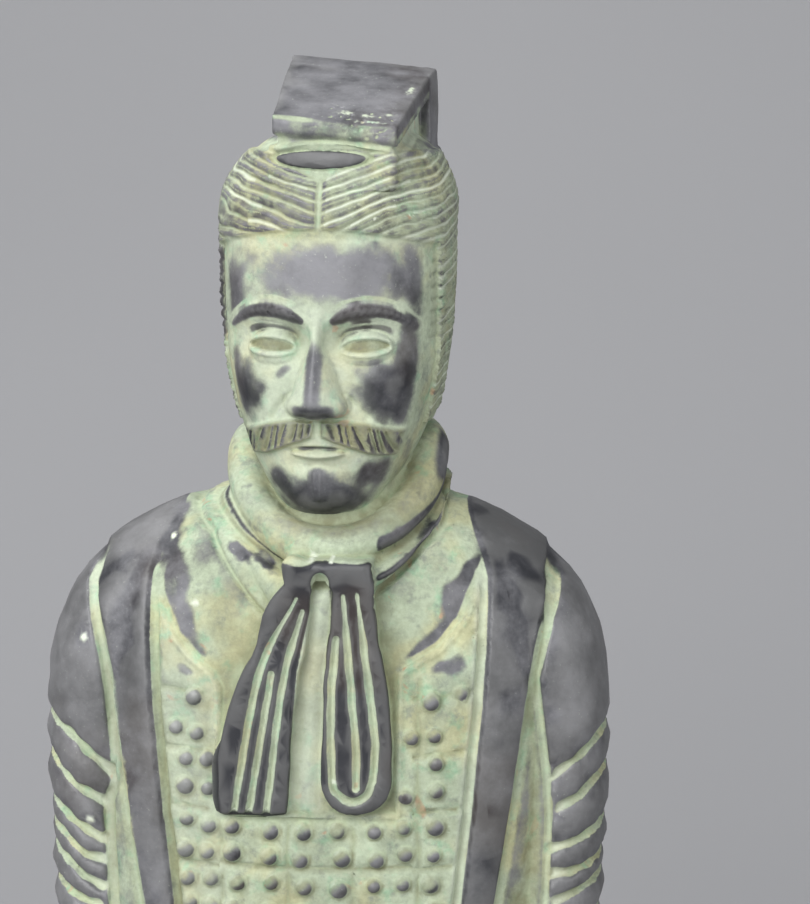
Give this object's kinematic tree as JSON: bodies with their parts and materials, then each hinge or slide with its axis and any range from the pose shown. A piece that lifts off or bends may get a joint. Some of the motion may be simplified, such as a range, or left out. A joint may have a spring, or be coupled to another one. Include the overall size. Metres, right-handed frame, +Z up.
{
  "type": "bronze warrior statue",
  "caption": "Small cast bronze figure of a standing armoured officer in a scarf and flat cap, dark metal with pale green patina, on a low plinth",
  "frame": {"origin": "centre of the plinth's underside", "axes": "+Z up along the figure, -Y the way the figure faces, +X to the figure's left"},
  "size_m": [0.072, 0.06, 0.2497],
  "materials": {
    "patinated_bronze": "dark bronze, worn to a dull sheen on raised parts, with matt pale green verdigris in the recesses"
  },
  "bodies": {
    "root": {"bronze_warrior": "patinated_bronze"}
  },
  "joints": []
}
